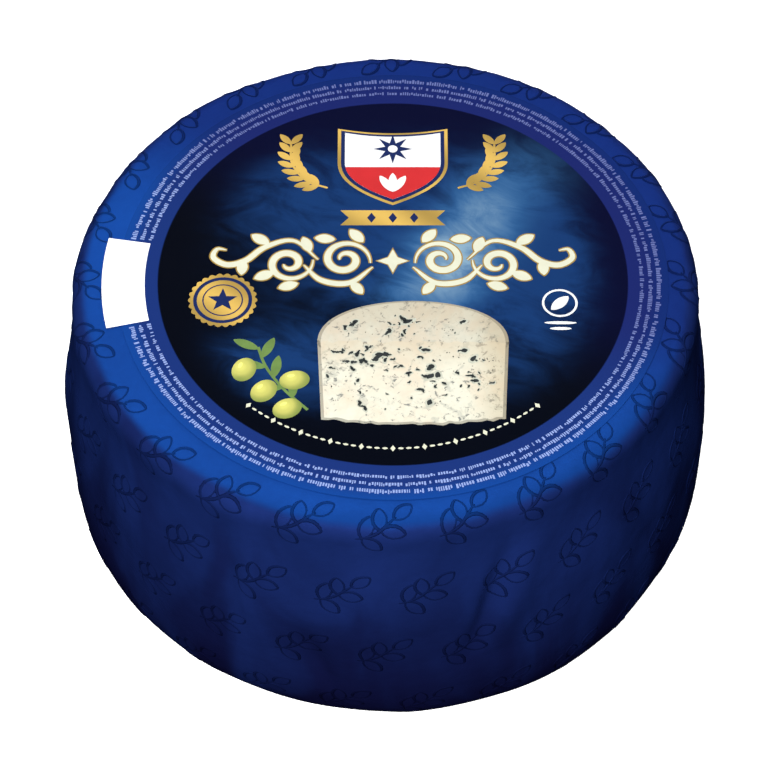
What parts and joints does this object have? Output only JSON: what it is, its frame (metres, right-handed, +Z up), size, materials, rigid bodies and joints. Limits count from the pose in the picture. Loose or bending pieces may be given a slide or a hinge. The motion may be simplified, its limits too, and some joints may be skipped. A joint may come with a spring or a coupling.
{
  "type": "wrapped blue cheese wheel",
  "caption": "Whole wheel of blue cheese shut in dark blue foil, standing on a flat underside, with a rounded top edge, a round label and a blank date label on top",
  "frame": {"origin": "middle of the flat underside that the wheel stands on", "axes": "+Z up; -Y is the front, from which the label's design is the right way up; -X is the side with the blank date label"},
  "size_m": [0.1983, 0.1936, 0.1074],
  "materials": {
    "blue_foil": "satin cobalt to navy lacquer on thin aluminium foil, softly creased and finely embossed",
    "label_print": "satin printed paper, navy with an indigo border",
    "blank_paper": "matt white paper, bare"
  },
  "bodies": {
    "root": {"wrapped_wheel": "blue_foil", "top_label": "label_print", "date_label": "blank_paper"}
  },
  "joints": []
}
